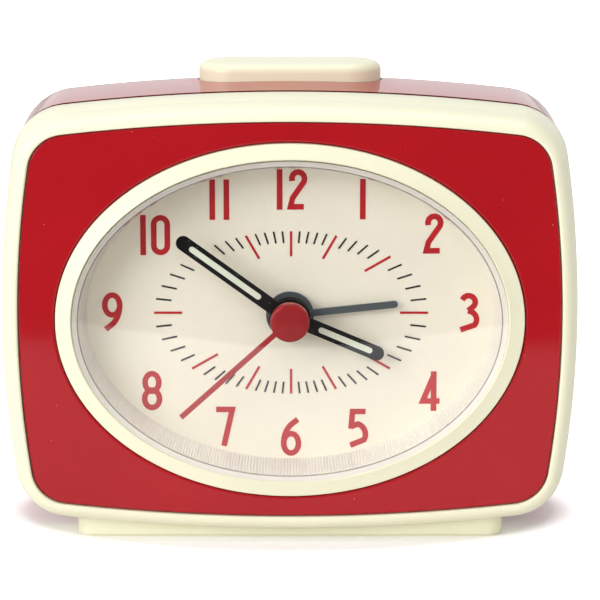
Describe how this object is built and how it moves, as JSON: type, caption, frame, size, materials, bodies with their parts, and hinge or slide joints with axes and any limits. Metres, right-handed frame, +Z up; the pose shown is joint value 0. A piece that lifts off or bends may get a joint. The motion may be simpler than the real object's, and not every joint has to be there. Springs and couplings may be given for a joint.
{
  "type": "analog alarm clock",
  "caption": "Retro table alarm clock with a bulged rounded frame, an oval domed dial, hour, minute, second and alarm hands, and a snooze bar on top.",
  "frame": {"origin": "middle of the foot's underside, on the table", "axes": "+X to the right seen from the front, +Y towards the back, +Z up"},
  "size_m": [0.107, 0.062, 0.0852],
  "materials": {
    "cream_plastic": "satin cream moulding",
    "red_plastic": "glossy red moulding",
    "clear_lens": "clear polished moulding",
    "dial_card": "matt card",
    "black_print": "printed ink",
    "red_print": "printed ink",
    "hand_black": "black lacquer",
    "lume": "luminous paint",
    "hand_red": "red lacquer",
    "cap_red": "satin red moulding",
    "hand_slate": "slate lacquer",
    "black_plastic": "fine matt moulding",
    "white_plastic": "natural white moulding",
    "steel": "plated steel",
    "brass": "turned brass",
    "magnet": "pressed magnet",
    "copper": "enamelled copper wire",
    "cell_jacket": "plain foil jacket",
    "board_green": "lacquered board"
  },
  "bodies": {
    "case": {"front_frame": "cream_plastic", "front_panel": "red_plastic", "dial_bezel": "cream_plastic", "lens": "clear_lens", "dial": "dial_card", "minute_marks": "black_print", "hour_marks": "red_print", "hour_numerals": "red_print", "rear_shell": "red_plastic", "back_cover": "red_plastic", "base_foot": "cream_plastic", "case_screws": "steel", "snooze_springs": "steel", "snooze_switch": "black_plastic", "battery": "cell_jacket", "battery_spring": "steel", "battery_plate": "steel", "buzzer": "brass", "movement_plate": "white_plastic", "movement_mid_plate": "white_plastic", "movement_cover": "white_plastic", "movement_screws": "steel", "circuit_board": "board_green", "clock_chip": "black_plastic", "quartz_crystal": "steel", "coil_bobbin": "black_plastic", "coil_winding": "copper", "stator": "steel"},
    "seconds": {"second_hand": "hand_red", "second_hand_cap": "cap_red", "second_wheel": "brass"},
    "minutes": {"minute_hand": "hand_black", "minute_hand_lume": "lume", "cannon_pinion": "steel"},
    "hours": {"hour_hand": "hand_black", "hour_hand_lume": "lume", "hour_wheel": "white_plastic"},
    "alarm": {"alarm_hand": "hand_slate", "alarm_wheel": "white_plastic"},
    "rotor": {"rotor": "magnet"},
    "intermediate": {"intermediate_wheel": "white_plastic"},
    "third": {"third_wheel": "white_plastic"},
    "centre": {"centre_wheel": "brass"},
    "time_set": {"minute_wheel": "white_plastic", "time_knob": "black_plastic"},
    "alarm_set": {"alarm_stem": "white_plastic", "alarm_knob": "black_plastic"},
    "snooze": {"snooze_button": "cream_plastic"},
    "switch": {"alarm_switch": "black_plastic"},
    "door": {"battery_door": "red_plastic"}
  },
  "joints": [
    {"name": "second_hand_spin", "type": "hinge", "parent": "case", "child": "seconds", "pos_m": [0, -0.0162, 0.0415], "axis": [0, 1, 0], "continuous": true},
    {"name": "minute_hand_spin", "type": "hinge", "parent": "case", "child": "minutes", "pos_m": [0, -0.0162, 0.0415], "axis": [0, 1, 0], "continuous": true},
    {"name": "hour_hand_spin", "type": "hinge", "parent": "case", "child": "hours", "pos_m": [0, -0.0162, 0.0415], "axis": [0, 1, 0], "continuous": true},
    {"name": "alarm_hand_spin", "type": "hinge", "parent": "case", "child": "alarm", "pos_m": [0, -0.0162, 0.0415], "axis": [0, 1, 0], "continuous": true},
    {"name": "rotor_spin", "type": "hinge", "parent": "case", "child": "rotor", "pos_m": [0.00727, -0.0162, 0.05578], "axis": [0, 1, 0], "continuous": true},
    {"name": "intermediate_wheel_spin", "type": "hinge", "parent": "case", "child": "intermediate", "pos_m": [0, -0.0162, 0.05158], "axis": [0, 1, 0], "continuous": true},
    {"name": "third_wheel_spin", "type": "hinge", "parent": "case", "child": "third", "pos_m": [0, -0.0162, 0.0295], "axis": [0, 1, 0], "continuous": true},
    {"name": "centre_wheel_spin", "type": "hinge", "parent": "case", "child": "centre", "pos_m": [0, -0.0162, 0.0415], "axis": [0, 1, 0], "continuous": true},
    {"name": "time_knob_spin", "type": "hinge", "parent": "case", "child": "time_set", "pos_m": [-0.01039, -0.0162, 0.0475], "axis": [0, 1, 0], "continuous": true},
    {"name": "alarm_knob_spin", "type": "hinge", "parent": "case", "child": "alarm_set", "pos_m": [0.01039, -0.0162, 0.0475], "axis": [0, 1, 0], "continuous": true},
    {"name": "snooze_press", "type": "slide", "parent": "case", "child": "snooze", "axis": [0, 0, -1], "range_m": [0, 0.0015], "stiffness_N_per_m": 400, "springref_m": -0.001, "deforming": ["snooze_springs"]},
    {"name": "alarm_switch_slide", "type": "slide", "parent": "case", "child": "switch", "axis": [1, 0, 0], "range_m": [0, 0.004]},
    {"name": "battery_door_hinge", "type": "hinge", "parent": "case", "child": "door", "pos_m": [0, 0.0272, 0.01655], "axis": [-1, 0, 0], "range_deg": [0, 90]}
  ],
  "couplings": [
    {"joint": "third_wheel_spin", "follows": "second_hand_spin", "ratio": -0.125},
    {"joint": "centre_wheel_spin", "follows": "second_hand_spin", "ratio": 0.016667},
    {"joint": "intermediate_wheel_spin", "follows": "second_hand_spin", "ratio": -5},
    {"joint": "rotor_spin", "follows": "second_hand_spin", "ratio": 30},
    {"joint": "hour_hand_spin", "follows": "minute_hand_spin", "ratio": 0.083333},
    {"joint": "time_knob_spin", "follows": "minute_hand_spin", "ratio": -0.33333},
    {"joint": "alarm_knob_spin", "follows": "alarm_hand_spin", "ratio": -4}
  ]
}
